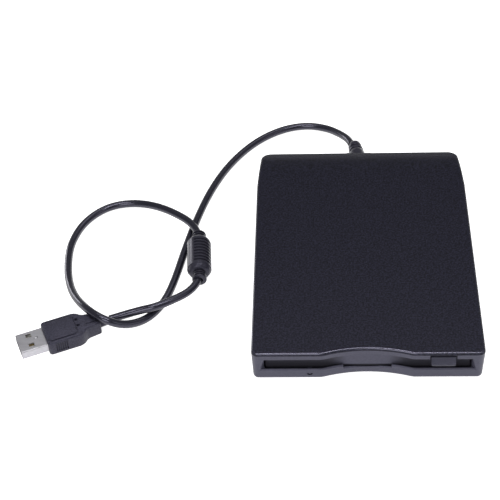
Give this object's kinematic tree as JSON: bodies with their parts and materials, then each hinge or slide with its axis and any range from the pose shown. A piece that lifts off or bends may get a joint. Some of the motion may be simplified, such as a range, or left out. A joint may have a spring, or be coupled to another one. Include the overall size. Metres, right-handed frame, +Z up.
{
  "type": "external floppy disk drive",
  "caption": "Slim portable 3.5 inch floppy disk drive: dark lid on a grey tub, disk slot with flap and eject key in front, captive USB cord with ferrite and plug.",
  "frame": {"origin": "under the middle of the drive, on the surface that it stands on", "axes": "+X to the right seen from the slot, +Y to the rear where the cord leaves, +Z up"},
  "size_m": [0.2128, 0.1835, 0.0175],
  "materials": {
    "dark_plastic": "fine-grained charcoal moulding",
    "grey_plastic": "satin grey moulding",
    "button_plastic": "satin dark grey",
    "rubber": "matt",
    "lens": "smoked",
    "steel": "zinc plated sheet",
    "dark_steel": "black zinc",
    "brass": "sintered bronze",
    "copper": "enamelled wire",
    "magnet": "bonded magnet",
    "board": "green solder mask",
    "black_part": "moulded component",
    "white_part": "natural nylon",
    "carriage_plastic": "glass-filled moulding",
    "ceramic": "polished head",
    "flex": "amber polyimide",
    "cord_jacket": "satin PVC",
    "ferrite": "sintered ferrite",
    "plug_metal": "nickel plated",
    "gold": "gold flash",
    "lamp": "clear LED body"
  },
  "bodies": {
    "housing": {"bottom_cover": "grey_plastic", "top_cover": "dark_plastic", "feet": "rubber", "case_screws": "dark_steel", "led_lens": "lens", "chassis": "steel", "datum_posts": "steel", "chassis_screws": "steel", "mechanism_shield": "steel", "slider_guides": "steel", "motor_board": "board", "stator_coils": "copper", "spindle_bearing": "brass", "position_switches": "black_part", "activity_led": "lamp", "guide_rod": "steel", "rod_clamps": "black_part", "screw_bracket": "steel", "stepper_motor": "steel", "track0_sensor": "black_part", "main_board": "board", "main_board_chips": "black_part", "usb_board": "board", "usb_controller": "black_part", "crystal": "steel", "board_screws": "steel", "cord_connector": "white_part", "interface_ribbon": "flex", "cord_leads": "cord_jacket", "strain_relief": "cord_jacket", "usb_cord": "cord_jacket", "ferrite_sleeve": "cord_jacket", "ferrite_core": "ferrite", "plug_overmould": "cord_jacket", "plug_shell": "plug_metal", "plug_tongue": "white_part", "plug_contacts": "gold"},
    "door": {"dust_door": "grey_plastic"},
    "slider": {"eject_slider": "steel", "eject_button": "button_plastic"},
    "holder": {"disk_holder": "steel", "holder_pins": "steel", "lever_pivot": "steel"},
    "lever": {"shutter_lever": "steel"},
    "spindle": {"rotor": "steel", "rotor_magnet": "magnet", "spindle_shaft": "steel", "drive_pin": "brass"},
    "carriage": {"head_carriage": "carriage_plastic", "lower_head": "ceramic", "arm_pin": "steel"},
    "upper_arm": {"upper_head_arm": "steel", "upper_head": "ceramic"},
    "screw": {"lead_screw": "steel"}
  },
  "joints": [
    {"name": "door_swing", "type": "hinge", "parent": "housing", "child": "door", "pos_m": [0, -0.0664, 0.0135], "axis": [1, 0, 0], "range_deg": [0, 78]},
    {"name": "eject_slide", "type": "slide", "parent": "housing", "child": "slider", "axis": [0, -1, 0], "range_m": [0, 0.0045]},
    {"name": "holder_drop", "type": "slide", "parent": "housing", "child": "holder", "axis": [0, 0, -1], "range_m": [0, 0.0016]},
    {"name": "lever_swing", "type": "hinge", "parent": "holder", "child": "lever", "pos_m": [-0.038, 0.022, 0.0118], "axis": [0, 0, 1], "range_deg": [0, 48]},
    {"name": "spindle_spin", "type": "hinge", "parent": "housing", "child": "spindle", "pos_m": [0, -0.019, 0.00735], "axis": [0, 0, 1], "continuous": true},
    {"name": "head_travel", "type": "slide", "parent": "housing", "child": "carriage", "axis": [0, -1, 0], "range_m": [0, 0.0148]},
    {"name": "arm_lower", "type": "hinge", "parent": "carriage", "child": "upper_arm", "pos_m": [0, 0.0527, 0.00995], "axis": [1, 0, 0], "range_deg": [0, 6.2]},
    {"name": "screw_spin", "type": "hinge", "parent": "housing", "child": "screw", "pos_m": [0.024, 0.04, 0.0081], "axis": [0, 1, 0], "range_deg": [0, 1776]}
  ],
  "couplings": [
    {"joint": "holder_drop", "follows": "eject_slide", "ratio": 0.35556},
    {"joint": "arm_lower", "follows": "eject_slide", "rad_per_m": 24.047},
    {"joint": "screw_spin", "follows": "head_travel", "rad_per_m": 2094.4}
  ]
}
